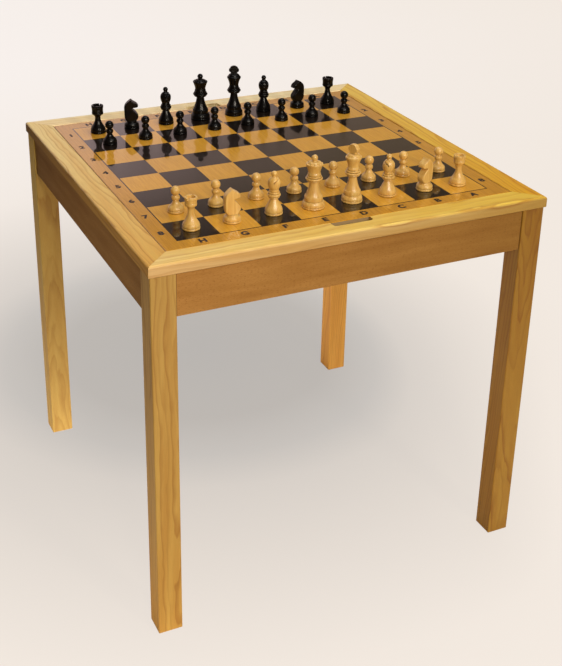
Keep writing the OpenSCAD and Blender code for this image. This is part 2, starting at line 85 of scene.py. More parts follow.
# makes a mesh object from arrays of points and faces, placed in the mesh itself
def meshObject(name, points, faces, material, smooth=True):
    mesh = bpy.data.meshes.new(name)
    mesh.from_pydata(np.asarray(points, float).tolist(), [], faces)
    mesh.validate()
    mesh.polygons.foreach_set("use_smooth", [smooth] * len(mesh.polygons))
    mesh.materials.append(material)
    mesh.update()
    thing = bpy.data.objects.new(name, mesh)
    bpy.context.scene.collection.objects.link(thing)
    return thing


# the points of a mesh as rows of x, y, z
def meshPoints(mesh):
    co = np.empty(len(mesh.vertices) * 3)
    mesh.vertices.foreach_get("co", co)
    return co.reshape(-1, 3)


# faces of a grid of rings: ring i and ring i + 1 are joined by quads, and each end is closed by one face
def ringFaces(rings, sides, start=0, closed=True):
    i, j = np.meshgrid(np.arange(rings - 1), np.arange(sides), indexing="ij")
    k = (j + 1) % sides
    quads = np.stack([i * sides + j, i * sides + k, (i + 1) * sides + k, (i + 1) * sides + j], -1)
    faces = (quads.reshape(-1, 4) + start).tolist()
    if closed:
        faces.append((np.arange(sides)[::-1] + start).tolist())
        faces.append((np.arange(sides) + (rings - 1) * sides + start).tolist())
    return faces


# painted light that changes nothing
noPaintedLight = ("#FFFFFF", "#FFFFFF", "#FFFFFF", "#FFFFFF")
# reach of the painted light and shade along a leg and along a rail or apron, and how flat a face is a top,
# by its normal
paintedLightReach = {"leg": (0.0, 0.52), "rail": (-0.28, 0.28), "upright": 0.2, "top": 0.9}


# painted light and shade from end to end of the stick, multiplied into its colour: two colours for its top,
# two for its upright faces, lighter or darker as the light falls on them
def paintedLightAlong(tree, place, along, paintedLightTints):
    split = add(tree, "SeparateXYZ", inputs={0: place.outputs["Object"]})
    low, high = paintedLightReach["leg" if along == "z" else "rail"]
    way = add(tree, "MapRange", inputs={0: split.outputs["xyz".index(along)], 1: low, 2: high})
    tops = add(tree, "Mix", {"data_type": "RGBA"},
               {"Factor": way.outputs[0], 6: linear(paintedLightTints[0]), 7: linear(paintedLightTints[1])})
    sides = add(tree, "Mix", {"data_type": "RGBA"},
                {"Factor": way.outputs[0], 6: linear(paintedLightTints[2]), 7: linear(paintedLightTints[3])})
    facing = add(tree, "SeparateXYZ", inputs={0: add(tree, "NewGeometry").outputs["Normal"]})
    upright = add(tree, "MapRange", inputs={0: facing.outputs[2], 1: paintedLightReach["upright"],
                                            2: paintedLightReach["top"], 3: 1.0, 4: 0.0})
    return add(tree, "Mix", {"data_type": "RGBA"},
               {"Factor": upright.outputs[0], 6: tops.outputs[2], 7: sides.outputs[2]})


# planed pine under satin lacquer: pale early wood, amber late wood in rings that the saw cuts
# at a slant, so arches and long streaks show; fine fibres run with the grain. Rings and their waver
# are in mm; slow, broad and fibre give waves of noise to the mm, across the log twice and along it;
# each kind gives the colours of early, middling and late wood
pine = {"ring": 4.2, "waver": 20.0, "lateWood": 0.75, "coat": 0.2, "coatRoughness": 0.25,
        "slow": (0.03, 0.03, 0.006), "broad": (0.09, 0.09, 0.004), "fibre": (1.6, 1.6, 0.03),
        "pale": ("#F6D688", "#E9BE66", "#C98F3C"), "straw": ("#FAE29C", "#F0CC82", "#CFA050"),
        "cream": ("#FFF0BE", "#FFE0A2", "#DCAA5C"), "amber": ("#E2AE55", "#D49A45", "#B5762B")}


# rings are the distance from the heart of the log, which lies at heart (mm) and leans by lean; painted
# light and shade change the colour from one end of the stick to the other, and between its top and upright
# faces
def pineWood(name, along, heart, lean=(0.0, 0.0), kind="pale", contrast=1.0, paintedLightTints=noPaintedLight):
    early, middling, late = pine[kind]
    material, tree = newMaterial(name)
    leanX, leanY = (math.radians(v) for v in lean)
    turned = {"x": (leanX, leanY + math.pi / 2, 0), "y": (leanX - math.pi / 2, leanY, 0),
              "z": (leanX, leanY, 0)}[along]
    place = add(tree, "TexCoord")
    log = add(tree, "Mapping", {"vector_type": "TEXTURE"},
              {"Vector": place.outputs["Object"], "Location": [v * mm for v in heart],
               "Rotation": turned, "Scale": (mm, mm, mm)})
    slow = add(tree, "Mapping", inputs={"Vector": log.outputs[0], "Scale": pine["slow"]})
    waver = add(tree, "TexNoise", inputs={"Vector": slow.outputs[0], "Scale": 1.0, "Detail": 3.0})
    push = add(tree, "VectorMath", {"operation": "SUBTRACT"},
               {0: waver.outputs["Color"], 1: (0.5, 0.5, 0.5)})
    bent = add(tree, "VectorMath", {"operation": "MULTIPLY_ADD"},
               {0: push.outputs[0], 1: (pine["waver"], pine["waver"], 0), 2: log.outputs[0]})
    flat = add(tree, "VectorMath", {"operation": "MULTIPLY"}, {0: bent.outputs[0], 1: (1, 1, 0)})
    away = add(tree, "VectorMath", {"operation": "LENGTH"}, {0: flat.outputs[0]})
    count = add(tree, "Math", {"operation": "DIVIDE"}, {0: away.outputs["Value"], 1: pine["ring"]})
    part = add(tree, "Math", {"operation": "FRACT"}, {0: count.outputs[0]})
    ring = add(tree, "ValToRGB", {"stops": [(0.0, (0, 0, 0, 1)), (0.45, (0.06, 0.06, 0.06, 1)),
                                            (0.86, (1, 1, 1, 1)), (0.97, (0, 0, 0, 1))]},
               {"Fac": part.outputs[0]})
    year = add(tree, "Math", {"operation": "FLOOR"}, {0: count.outputs[0]})
    yearly = add(tree, "TexWhiteNoise", {"noise_dimensions": "1D"}, {"W": year.outputs[0]})
    strength = add(tree, "Math", {"operation": "MULTIPLY"},
                   {0: ring.outputs[0], 1: yearly.outputs["Value"]})
    ringy = add(tree, "Math", {"operation": "MULTIPLY"},
                {0: strength.outputs[0], 1: pine["lateWood"] * contrast})
    broadGrain = add(tree, "Mapping", inputs={"Vector": log.outputs[0], "Scale": pine["broad"]})
    broad = add(tree, "TexNoise", inputs={"Vector": broadGrain.outputs[0], "Scale": 1.0, "Detail": 2.0})
    base = add(tree, "ValToRGB", {"stops": [(0.3, linear(early)), (0.7, linear(middling))]},
               {"Fac": broad.outputs["Fac"]})
    rings = add(tree, "Mix", {"data_type": "RGBA"},
                {"Factor": ringy.outputs[0], 6: base.outputs[0], 7: linear(late)})
    grain = add(tree, "Mapping", inputs={"Vector": log.outputs[0], "Scale": pine["fibre"]})
    fibre = add(tree, "TexNoise", inputs={"Vector": grain.outputs[0], "Scale": 1.0, "Detail": 4.0,
                                          "Roughness": 0.6})
    fine = add(tree, "MapRange", inputs={0: fibre.outputs["Fac"], 1: 0.3, 2: 0.7, 3: 0.9, 4: 1.06})
    shaded = add(tree, "VectorMath", {"operation": "SCALE"},
                 {0: rings.outputs[2], "Scale": fine.outputs[0]})
    # lacquer holds the painted light and shade, multiplied into the wood's colour
    lacquer = paintedLightAlong(tree, place, along, paintedLightTints)
    colour = add(tree, "Mix", {"data_type": "RGBA", "blend_type": "MULTIPLY"},
                 {"Factor": 1.0, 6: shaded.outputs[0], 7: lacquer.outputs[2]})
    rough = add(tree, "MapRange", inputs={0: fibre.outputs["Fac"], 1: 0.3, 2: 0.7, 3: 0.38, 4: 0.5})
    bump = add(tree, "Bump", inputs={"Height": fibre.outputs["Fac"], "Strength": 0.08,
                                     "Distance": 0.0002})
    wood = add(tree, "BsdfPrincipled", inputs={"Base Color": colour.outputs[2],
                                               "Roughness": rough.outputs[0], "IOR": 1.5,
                                               "Specular IOR Level": 0.45, "Coat Weight": pine["coat"],
                                               "Coat Roughness": pine["coatRoughness"],
                                               "Normal": bump.outputs[0]})
    return finishMaterial(material, wood)


# steamed beech, planed and lacquered: even tan with short dark flecks, and a line of painted shade where
# the apron meets the leg, half an apron's length from the middle; sizes in mm
beech = {"pale": "#BE8A48", "deep": "#A87434", "fleck": "#85521F", "fleckLength": 2.2, "fleckWidth": 0.25,
         "half": 242.5, "seamShadeWidth": 0.4, "seamShadeDark": 0.85, "seamShade": "#4A2E14"}


def beechWood(name, along, paintedLightTints=noPaintedLight):
    material, tree = newMaterial(name)
    place = add(tree, "TexCoord")
    stretch = [1 / beech["fleckLength" if axis == along else "fleckWidth"] for axis in "xyz"]
    inMm = add(tree, "VectorMath", {"operation": "SCALE"}, {0: place.outputs["Object"], "Scale": 1 / mm})
    fleckSpace = add(tree, "Mapping", inputs={"Vector": inMm.outputs[0],
                                              "Scale": [v * 0.5 for v in stretch]})
    fleck = add(tree, "TexNoise", inputs={"Vector": fleckSpace.outputs[0], "Scale": 1.0, "Detail": 2.0})
    fleckMask = add(tree, "MapRange", inputs={0: fleck.outputs["Fac"], 1: 0.57, 2: 0.68, 3: 0.0, 4: 0.75})
    slowSpace = add(tree, "Mapping", inputs={"Vector": inMm.outputs[0],
                                             "Scale": [v * 0.02 for v in stretch]})
    slow = add(tree, "TexNoise", inputs={"Vector": slowSpace.outputs[0], "Scale": 1.0, "Detail": 4.0})
    body = add(tree, "ValToRGB", {"stops": [(0.3, linear(beech["pale"])), (0.72, linear(beech["deep"]))]},
               {"Fac": slow.outputs["Fac"]})
    flecked = add(tree, "Mix", {"data_type": "RGBA"},
                  {"Factor": fleckMask.outputs[0], 6: body.outputs[0], 7: linear(beech["fleck"])})
    # lacquer holds the painted light and shade, multiplied into the beech's colour
    lacquer = paintedLightAlong(tree, place, along, paintedLightTints)
    withPaintedLight = add(tree, "Mix", {"data_type": "RGBA", "blend_type": "MULTIPLY"},
                 {"Factor": 1.0, 6: flecked.outputs[2], 7: lacquer.outputs[2]})
    # painted shade in the joint where the apron meets the leg
    ends = add(tree, "SeparateXYZ", inputs={0: inMm.outputs[0]})
    reach = add(tree, "Math", {"operation": "ABSOLUTE"}, {0: ends.outputs["xy".index(along)]})
    seamShade = add(tree, "MapRange", inputs={0: reach.outputs[0], 1: beech["half"] - beech["seamShadeWidth"],
                                         2: beech["half"], 3: 0.0, 4: beech["seamShadeDark"]})
    colour = add(tree, "Mix", {"data_type": "RGBA"},
                 {"Factor": seamShade.outputs[0], 6: withPaintedLight.outputs[2], 7: linear(beech["seamShade"])})
    bump = add(tree, "Bump", inputs={"Height": fleck.outputs["Fac"], "Strength": 0.06,
                                     "Distance": 0.0002})
    rough = add(tree, "MapRange", inputs={0: slow.outputs["Fac"], 1: 0.3, 2: 0.7, 3: 0.42, 4: 0.52})
    wood = add(tree, "BsdfPrincipled", inputs={"Base Color": colour.outputs[2], "IOR": 1.5,
                                               "Roughness": rough.outputs[0],
                                               "Specular IOR Level": 0.3,
                                               "Normal": bump.outputs[0]})
    return finishMaterial(material, wood)


# raw pine battens and raw birch plywood inside the frame: matt and paler, ply edges in layers, every
# other one darker; a pair of layers is 2.5 mm thick
rawWoods = {"pairOfLayers": 2.5, "darkLayer": "#8A6238", "figure": (0.012, 0.6, 0.6)}


def rawWood(name, pale, deep, ply):
    material, tree = newMaterial(name)
    place = add(tree, "TexCoord")
    inMm = add(tree, "VectorMath", {"operation": "SCALE"}, {0: place.outputs["Object"], "Scale": 1 / mm})
    space = add(tree, "Mapping", inputs={"Vector": inMm.outputs[0], "Rotation": (0, 0, 0.01),
                                         "Scale": rawWoods["figure"]})
    figure = add(tree, "TexNoise", inputs={"Vector": space.outputs[0], "Scale": 1.0, "Detail": 5.0,
                                           "Roughness": 0.6})
    face = add(tree, "ValToRGB", {"stops": [(0.32, linear(pale)), (0.7, linear(deep))]},
               {"Fac": figure.outputs["Fac"]})
    surface = face.outputs[0]
    if ply:
        split = add(tree, "SeparateXYZ", inputs={0: inMm.outputs[0]})
        layer = add(tree, "Math", {"operation": "DIVIDE"},
                    {0: split.outputs[2], 1: rawWoods["pairOfLayers"]})
        odd = add(tree, "Math", {"operation": "FRACT"}, {0: layer.outputs[0]})
        dark = add(tree, "Math", {"operation": "GREATER_THAN"}, {0: odd.outputs[0], 1: 0.5})
        up = add(tree, "NewGeometry")
        lean = add(tree, "SeparateXYZ", inputs={0: up.outputs["Normal"]})
        steep = add(tree, "Math", {"operation": "ABSOLUTE"}, {0: lean.outputs[2]})
        edge = add(tree, "Math", {"operation": "LESS_THAN"}, {0: steep.outputs[0], 1: 0.5})
        both = add(tree, "Math", {"operation": "MULTIPLY"}, {0: edge.outputs[0], 1: dark.outputs[0]})
        layered = add(tree, "Mix", {"data_type": "RGBA"},
                      {"Factor": both.outputs[0], 6: surface, 7: linear(rawWoods["darkLayer"])})
        surface = layered.outputs[2]
    bump = add(tree, "Bump", inputs={"Height": figure.outputs["Fac"], "Strength": 0.15,
                                     "Distance": 0.0003})
    wood = add(tree, "BsdfPrincipled", inputs={"Base Color": surface, "Roughness": 0.72, "IOR": 1.5,
                                               "Normal": bump.outputs[0]})
    return finishMaterial(material, wood)


# zinc plated steel, tumbled: dull grey with small bright and dark patches
def zincSteel():
    material, tree = newMaterial("zincPlatedSteel")
    place = add(tree, "TexCoord")
    patch = add(tree, "TexVoronoi", inputs={"Vector": place.outputs["Object"], "Scale": 900.0})
    cloud = add(tree, "TexNoise", inputs={"Vector": place.outputs["Object"], "Scale": 260.0,
                                          "Detail": 4.0})
    colour = add(tree, "ValToRGB", {"stops": [(0.3, linear("#9EA2A6")), (0.7, linear("#C6C8C9"))]},
                 {"Fac": cloud.outputs["Fac"]})
    rough = add(tree, "MapRange", inputs={0: patch.outputs["Distance"], 1: 0.0, 2: 1.0, 3: 0.28, 4: 0.46})
    steel = add(tree, "BsdfPrincipled", inputs={"Base Color": colour.outputs[0], "Metallic": 1.0,
                                                "Roughness": rough.outputs[0]})
    return finishMaterial(material, steel)


def dress(names, material):
    for name in names:
        slots = nodes[name].data.materials
        slots.clear()
        slots.append(material)


# every leg and rail is from another stick, so each has its own heart and lean; its painted light and shade
# are given for the low and high end of its top, then of its upright faces
dress(["leg_front_left"], pineWood("pineLegFrontLeft", "z", (-225, -215, 250), (1.2, 2.0), "amber", 1.0,
                                   ("#FFFFFF", "#FFFFFF", "#F6FFFF", "#E0ECFF")))
dress(["leg_front_right"], pineWood("pineLegFrontRight", "z", (268, -222, 200), (2.6, -1.4), "amber", 1.3,
                                    ("#FFFFFF", "#FFFFFF", "#D9DCBA", "#B0A76A")))
dress(["leg_back_left"], pineWood("pineLegBackLeft", "z", (-262, 292, 300), (-3.4, 1.0), "amber", 1.0,
                                  ("#FFFFFF", "#FFFFFF", "#C8DEFF", "#B6CCE0")))
dress(["leg_back_right"], pineWood("pineLegBackRight", "z", (300, 230, 200), (2.0, 2.4), "amber"))
dress(["rail_front"], pineWood("pineRailFront", "x", (0, -238, 495), (0.8, 1.3), "pale", 1.2,
                               ("#FFFFFF", "#F6F48C", "#EEE6FF", "#BEB492")))
dress(["rail_back"], pineWood("pineRailBack", "x", (60, 300, 500), (1.0, -1.0), "cream"))
dress(["rail_left"], pineWood("pineRailLeft", "y", (-232, 40, 500), (1.6, 1.2), "straw", 1.4,
                              ("#E8CC88", "#FFFFFF", "#D8BC50", "#6C5628")))
dress(["rail_right"], pineWood("pineRailRight", "y", (285, -30, 498), (-1.4, 0.9), "pale", 1.5,
                               ("#F0D418", "#FFFCB0", "#E6D0B0", "#E6D0B0")))
# the aprons' upright faces get painted shade, darker towards the right and towards the back
dress(["apron_front", "apron_back"], beechWood("lacqueredBeechLong", "x",
                                                ("#FFFFFF", "#FFFFFF", "#FFFFFF", "#CACAAF")))
dress(["apron_left", "apron_right"], beechWood("lacqueredBeechSide", "y",
                                                ("#FFFFFF", "#FFFFFF", "#E4E0A8", "#8E8A6C")))
rawPine = rawWood("rawPineBatten", "#DDBD84", "#C79F62", False)
dress([n for n in nodes if n.startswith(("ledger_", "block_")) and "screws" not in n], rawPine)
dress(["tray_floor"], rawWood("rawBirchPlywood", "#D9BF93", "#C6A678", True))
dress(["hanger_bolts", "washers", "wing_nuts", "ledger_screws", "rail_screws", "block_screws"],
      zincSteel())
print("table dressed")


# sizes in mm: the skin is how far the veneer reaches down the edge, the ink stands a little proud;
# a capital is capShare of its font's size, and stroke thickens it by a share of its height; grain and
# cloud give waves of noise to the mm, from side to side, front to back and down
board = {"square": 55.0, "half": 220.0, "line": 1.7, "top": 537.5, "skin": 0.9, "inkRise": 0.04,
         "grain": (1.1, 0.035, 1.0), "cloud": (0.05, 0.008, 1.0),
         "maple": "#E2A83A", "mapleDeep": "#CE922C", "border": "#D39934", "borderDeep": "#B88026",
         "ink": "#16100D", "inkWorn": "#20170F", "core": "#A58C66",
         "letters": "HGFEDCBA", "letterHeight": 9.8, "markLine": 231.5, "capShare": 0.7, "stroke": 0.082}


# veneered board with the dark squares printed on it, under thick gloss lacquer: straight fine
# grain front to back, mirror-like reflections at a low angle; fibreboard shows on the edge
def boardVeneer():
    material, tree = newMaterial("glossVeneerBoard")
    place = add(tree, "TexCoord")
    inMm = add(tree, "VectorMath", {"operation": "SCALE"}, {0: place.outputs["Object"], "Scale": 1 / mm})
    axes = add(tree, "SeparateXYZ", inputs={0: inMm.outputs[0]})
    sideways = add(tree, "Math", {"operation": "ABSOLUTE"}, {0: axes.outputs[0]})
    lengthways = add(tree, "Math", {"operation": "ABSOLUTE"}, {0: axes.outputs[1]})
    reach = add(tree, "Math", {"operation": "MAXIMUM"}, {0: sideways.outputs[0], 1: lengthways.outputs[0]})
    inField = add(tree, "Math", {"operation": "LESS_THAN"}, {0: reach.outputs[0], 1: board["half"]})
    inLine = add(tree, "Math", {"operation": "LESS_THAN"},
                 {0: reach.outputs[0], 1: board["half"] + board["line"]})
    flat = add(tree, "CombineXYZ", inputs={0: axes.outputs[0], 1: axes.outputs[1], 2: 0.5})
    cells = add(tree, "TexChecker", inputs={"Vector": flat.outputs[0], "Scale": 1 / board["square"],
                                            "Color1": (1, 1, 1, 1), "Color2": (0, 0, 0, 1)})
    grainSpace = add(tree, "Mapping", inputs={"Vector": inMm.outputs[0], "Scale": board["grain"]})
    grain = add(tree, "TexNoise", inputs={"Vector": grainSpace.outputs[0], "Scale": 1.0, "Detail": 3.0,
                                          "Roughness": 0.65})
    cloudSpace = add(tree, "Mapping", inputs={"Vector": inMm.outputs[0], "Scale": board["cloud"]})
    cloud = add(tree, "TexNoise", inputs={"Vector": cloudSpace.outputs[0], "Scale": 1.0, "Detail": 2.0})
    light = add(tree, "ValToRGB", {"stops": [(0.36, linear(board["maple"])),
                                             (0.68, linear(board["mapleDeep"]))]},
                {"Fac": grain.outputs["Fac"]})
    edge = add(tree, "ValToRGB", {"stops": [(0.36, linear(board["border"])),
                                            (0.68, linear(board["borderDeep"]))]},
               {"Fac": grain.outputs["Fac"]})
    dark = add(tree, "ValToRGB", {"stops": [(0.35, linear(board["ink"])), (0.7, linear(board["inkWorn"]))]},
               {"Fac": grain.outputs["Fac"]})
    cell = add(tree, "Mix", {"data_type": "RGBA"},
               {"Factor": cells.outputs["Fac"], 6: dark.outputs[0], 7: light.outputs[0]})
    lined = add(tree, "Mix", {"data_type": "RGBA"},
                {"Factor": inLine.outputs[0], 6: edge.outputs[0], 7: dark.outputs[0]})
    field = add(tree, "Mix", {"data_type": "RGBA"},
                {"Factor": inField.outputs[0], 6: lined.outputs[2], 7: cell.outputs[2]})
    uneven = add(tree, "MapRange", inputs={0: cloud.outputs["Fac"], 1: 0.3, 2: 0.7, 3: 0.94, 4: 1.05})
    veneer = add(tree, "VectorMath", {"operation": "SCALE"},
                 {0: field.outputs[2], "Scale": uneven.outputs[0]})
    below = add(tree, "Math", {"operation": "LESS_THAN"},
                {0: axes.outputs[2], 1: board["top"] - board["skin"]})
    colour = add(tree, "Mix", {"data_type": "RGBA"},
                 {"Factor": below.outputs[0], 6: veneer.outputs[0], 7: linear(board["core"])})
    bump = add(tree, "Bump", inputs={"Height": grain.outputs["Fac"], "Strength": 0.02,
                                     "Distance": 0.0001})
    lacquer = add(tree, "BsdfPrincipled", inputs={"Base Color": colour.outputs[2], "Roughness": 0.3,
                                                  "IOR": 1.5, "Coat Weight": 1.0,
                                                  "Coat Roughness": 0.03, "Coat IOR": 1.5,
                                                  "Specular IOR Level": 0.1,
                                                  "Normal": bump.outputs[0]})
    return finishMaterial(material, lacquer)


# screen printed ink: matt black with a trace of the grain below
def printInk():
    material, tree = newMaterial("screenPrintedInk")
    place = add(tree, "TexCoord")
    speck = add(tree, "TexNoise", inputs={"Vector": place.outputs["Object"], "Scale": 1500.0})
    colour = add(tree, "ValToRGB", {"stops": [(0.4, linear("#120D0A")), (0.7, linear("#221812"))]},
                 {"Fac": speck.outputs["Fac"]})
    ink = add(tree, "BsdfPrincipled", inputs={"Base Color": colour.outputs[0], "Roughness": 0.35})
    return finishMaterial(material, ink)


# points and faces of one printed character, standing upright for someone at the front edge
def glyph(character, x, y, height):
    curve = bpy.data.curves.new("glyph", "FONT")
    curve.body = character
    curve.size = height * mm / board["capShare"]
    curve.align_x = "CENTER"
    curve.offset = board["stroke"] * height * mm
    curve.resolution_u = 4
    thing = bpy.data.objects.new("glyph", curve)
    bpy.context.scene.collection.objects.link(thing)
    bpy.context.view_layer.update()
    mesh = bpy.data.meshes.new_from_object(thing.evaluated_get(bpy.context.evaluated_depsgraph_get()))
    co = meshPoints(mesh)
    faces = [list(p.vertices) for p in mesh.polygons]
    middle = (co.min(0) + co.max(0)) / 2
    bpy.data.objects.remove(thing)
    return co - middle + np.array([x, y, board["top"] + board["inkRise"]]) * mm, faces


# all the marks of one kind in one mesh, lying on the board
def printMarks(name, marks, ink):
    allPoints, allFaces, start = [], [], 0
    for character, x, y in marks:
        co, faces = glyph(character, x, y, board["letterHeight"])
        allPoints.append(co)
        allFaces += [[i + start for i in face] for face in faces]
        start += len(co)
    thing = meshObject(name, np.concatenate(allPoints), allFaces, ink, smooth=False)
    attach(thing, "board")


dress(["board"], boardVeneer())
ink = printInk()
steps = [(i - 3.5) * board["square"] for i in range(8)]
printMarks("boardLetters", [(c, x, s * board["markLine"]) for s in (-1, 1)
                            for c, x in zip(board["letters"], steps)], ink)
printMarks("boardNumbers", [(str(8 - i), s * board["markLine"], y) for s in (-1, 1)
                            for i, y in enumerate(steps)], ink)
print("board printed")


# the outlines that follow are arrays of [radius, height] rows, in mm

# half round: radius = r + out sin a, height runs with (1 - cos a) / 2
def bead(r, z0, z1, out, n=14):
    a = np.linspace(0, np.pi, n)
    return np.stack([r + out * np.sin(a), z0 + (z1 - z0) * (1 - np.cos(a)) / 2], 1)


# hollow stem: radius falls from r0 to r1 with a power of what is left of the way
def taper(r0, z0, r1, z1, power, n=22):
    t = np.linspace(0, 1, n)
    return np.stack([r1 + (r0 - r1) * (1 - t) ** power, z0 + (z1 - z0) * t], 1)


# cup: radius grows from r0 to r1 with a power of the way gone
def cup(r0, z0, r1, z1, n=16, power=1.4):
    t = np.linspace(0, 1, n)
    return np.stack([r0 + (r1 - r0) * t ** power, z0 + (z1 - z0) * t], 1)


# arc of an upright ellipse, tall times as high as wide, between two angles above its middle
def arc(r, middle, low, high=90, tall=1.0, n=26):
    a = np.radians(np.linspace(low, high, n))
    return np.stack([r * np.cos(a), middle + tall * r * np.sin(a)], 1)


def points(*rows):
    return np.array(rows, float)


# the same on every man: height of the foot disc, its bevel and the swell of its beads, in mm; depth of
# the groove above it and lean of the belly, in swells; and the sides of a turned form and its least
# radius in mm, at a pole. On kings and queens the roll above the belly is a share of the stem, and the
# hollow is the power of its curve
turned = {"foot": 3.0, "bevel": 1.4, "swell": 0.8, "groove": 1.4, "lean": 1.2, "quarterRound": 0.25,
          "robeLean": 2.2, "roll": 0.26, "rollSwell": 0.9, "hollow": 1.7, "sides": 72, "pole": 0.04}


# the belly leaves its groove in a quarter round, then leans in with the square of the way gone
def foot(r, belly, lean=turned["lean"]):
    s, q = turned["swell"], turned["quarterRound"]
    t = np.linspace(0, 1, 20)
    out = np.sqrt(1 - (1 - np.minimum(t / q, 1)) ** 2) - lean * (np.maximum(t - q, 0) / (1 - q)) ** 2
    return np.concatenate([
        points([r - turned["bevel"], 0.0]), bead(r - s, 0, turned["foot"], s)[1:],
        np.stack([r - (turned["groove"] - out) * s, turned["foot"] + belly * t], 1)])


# foot, roll and hollow stem of a queen or king, with the height of its neck
def robe(p):
    r, s, rollSwell = p["base"] / 2, turned["swell"], turned["rollSwell"] * turned["swell"]
    low = turned["foot"] + p["belly"]
    high = low + p["stem"]
    roll, stem = r - p["inset"] * s - rollSwell, low + turned["roll"] * p["stem"]
    rows = np.concatenate([
        foot(r, p["belly"], turned["robeLean"]), bead(roll, low + 0.4 * s, stem, rollSwell),
        taper(roll - 0.4 * s, stem, p["neck"] / 2, high, turned["hollow"])])
    return rows, high


# each ring: its inner radius, foot, top and swell in shares of the collar, and its points
collarRings = [(0.74, 0.03, 0.22, 0.12, 14), (0.85, 0.22, 0.5, 0.15, 18), (0.76, 0.5, 0.72, 0.11, 14)]


# three rings, the middle one widest, under the bead of the head
def collar(r, waist, z, tall):
    rings = [bead(r * inner, z + tall * low, z + tall * high, r * out, n)
             for inner, low, high, out, n in collarRings]
    return np.concatenate([*rings, bead(waist, z + tall * collarRings[-1][2], z + tall, r * 0.06)])


# outline turned round the upright axis: x = r cos a, y = r sin a
def lathe(outline, angles=None):
    if angles is None:
        angles = np.linspace(0, 2 * np.pi, turned["sides"], endpoint=False)
    r, z = np.maximum(outline[:, :1], turned["pole"]), outline[:, 1:]
    return np.stack([r * np.cos(angles), r * np.sin(angles), z + 0 * angles], -1)


# rows closer together, no further apart than step
def refine(outline, step):
    rows = [outline[:1]]
    for a, b in zip(outline[:-1], outline[1:]):
        n = max(1, int(math.ceil(np.hypot(*(b - a)) / step)))
        t = np.arange(1, n + 1)[:, None] / n
        rows.append(a + (b - a) * t)
    return np.concatenate(rows)


# sizes in mm from here to the knight. A man's hollow is the power of its stem's curve, and edge, dome
# and file are shares of the crown's radius
pawn = {"base": 20.8, "belly": 4.6, "stem": 9.2, "hollow": 2.0, "neck": 7.4, "collar": 10.8,
        "collarHeight": 5.2, "ball": 12.4}


# one outline turned round: foot, hollow stem, half round collar and the ball
def pawnShape(side):
    r, head, neck, s = pawn["base"] / 2, pawn["ball"] / 2, pawn["neck"] / 2, turned["swell"]
    low = turned["foot"] + pawn["belly"]
    high = low + pawn["stem"]
    top = high + pawn["collarHeight"]
    rows = np.concatenate([
        foot(r, pawn["belly"]), taper(r - 2 * s, low + 0.4 * s, neck, high, pawn["hollow"]),
        bead(neck + 0.5 * s, high, top, pawn["collar"] / 2 - neck - 0.5 * s, 18),
        arc(head, top + head * 1.05, -60, n=34)])
    return [lathe(rows)]


rook = {"base": 22.8, "belly": 4.8, "stem": 14.0, "hollow": 1.7, "neck": 8.2, "cup": 8.6,
        "well": 4.6, "wall": 2.5, "edge": 0.06, "notch": 2.4, "notchDepth": 2.6,
        "white": {"crown": 16.0, "neckHeight": 4.6, "crownHeight": 7.0},
        "black": {"crown": 17.6, "neckHeight": 2.4, "crownHeight": 9.4}}


# foot, hollow stem and cup under a crown whose wall stands round a well; white and black rooks have
# crowns and necks of their own
def rookShape(side):
    r, neck, s = rook["base"] / 2, rook["neck"] / 2, turned["swell"]
    c = rook[side]["crown"] / 2
    low = turned["foot"] + rook["belly"]
    high = low + rook["stem"]
    cupLow = high + rook[side]["neckHeight"]
    ring, crownLow = cupLow + rook["cup"] / 2, cupLow + rook["cup"]
    tall = rook[side]["crownHeight"]
    top, inner, edge = crownLow + tall, c - rook["wall"], c * rook["edge"]
    rows = np.concatenate([
        foot(r, rook["belly"]), taper(r - 1.4 * s, low + 0.4 * s, neck, high, rook["hollow"]),
        cup(neck, cupLow, c * 0.8, ring), bead(c * 0.88, ring, crownLow, c * 0.08),
        refine(points([c * 0.93, crownLow], [c * 0.94, crownLow + tall * 0.4],
                      [c, top - rook["notchDepth"]], [c, top - edge],
                      [c - edge / 3, top - edge / 3], [c - edge, top],
                      [inner + 0.2, top], [inner, top - 0.2], [inner, top - rook["notchDepth"]],
                      [inner, top - rook["well"]], [0, top - rook["well"]]), 0.6)])
    # angles stand close together at the sides of the four notches, which lower the rim
    half = math.asin(rook["notch"] / 2 / c)
    inNotch = np.linspace(-half, half, 5)
    between = np.linspace(half * 1.04, np.pi / 2 - half * 1.04, 16)
    quarter = np.concatenate([inNotch, between])
    angles = (quarter[None, :] + np.arange(4)[:, None] * np.pi / 2 + np.pi / 4).ravel()
    grid = lathe(rows, angles)
    cutHere = np.tile(np.arange(len(quarter)) < len(inNotch), 4)
    rim = np.hypot(grid[..., 0], grid[..., 1]) > inner - 0.3
    lowered = np.minimum(grid[..., 2], top - rook["notchDepth"])
    grid[..., 2] = np.where(cutHere[None, :] & rim, lowered, grid[..., 2])
    return [grid]


# the egg's top and bottom are so many times as tall as a ball's, and its waist is a share of its radius
bishop = {"base": 23.2, "belly": 6.0, "stem": 12.6, "hollow": 1.15, "neck": 8.8, "collar": 17.0,
          "collarHeight": 11.8, "egg": 16.0, "eggTop": 1.1, "eggBottom": 1.45, "eggWaist": 0.69,
          "knob": 7.4, "slit": 1.5, "slitLean": 37.0, "slitRise": 1.2, "slitFloor": 0.3}


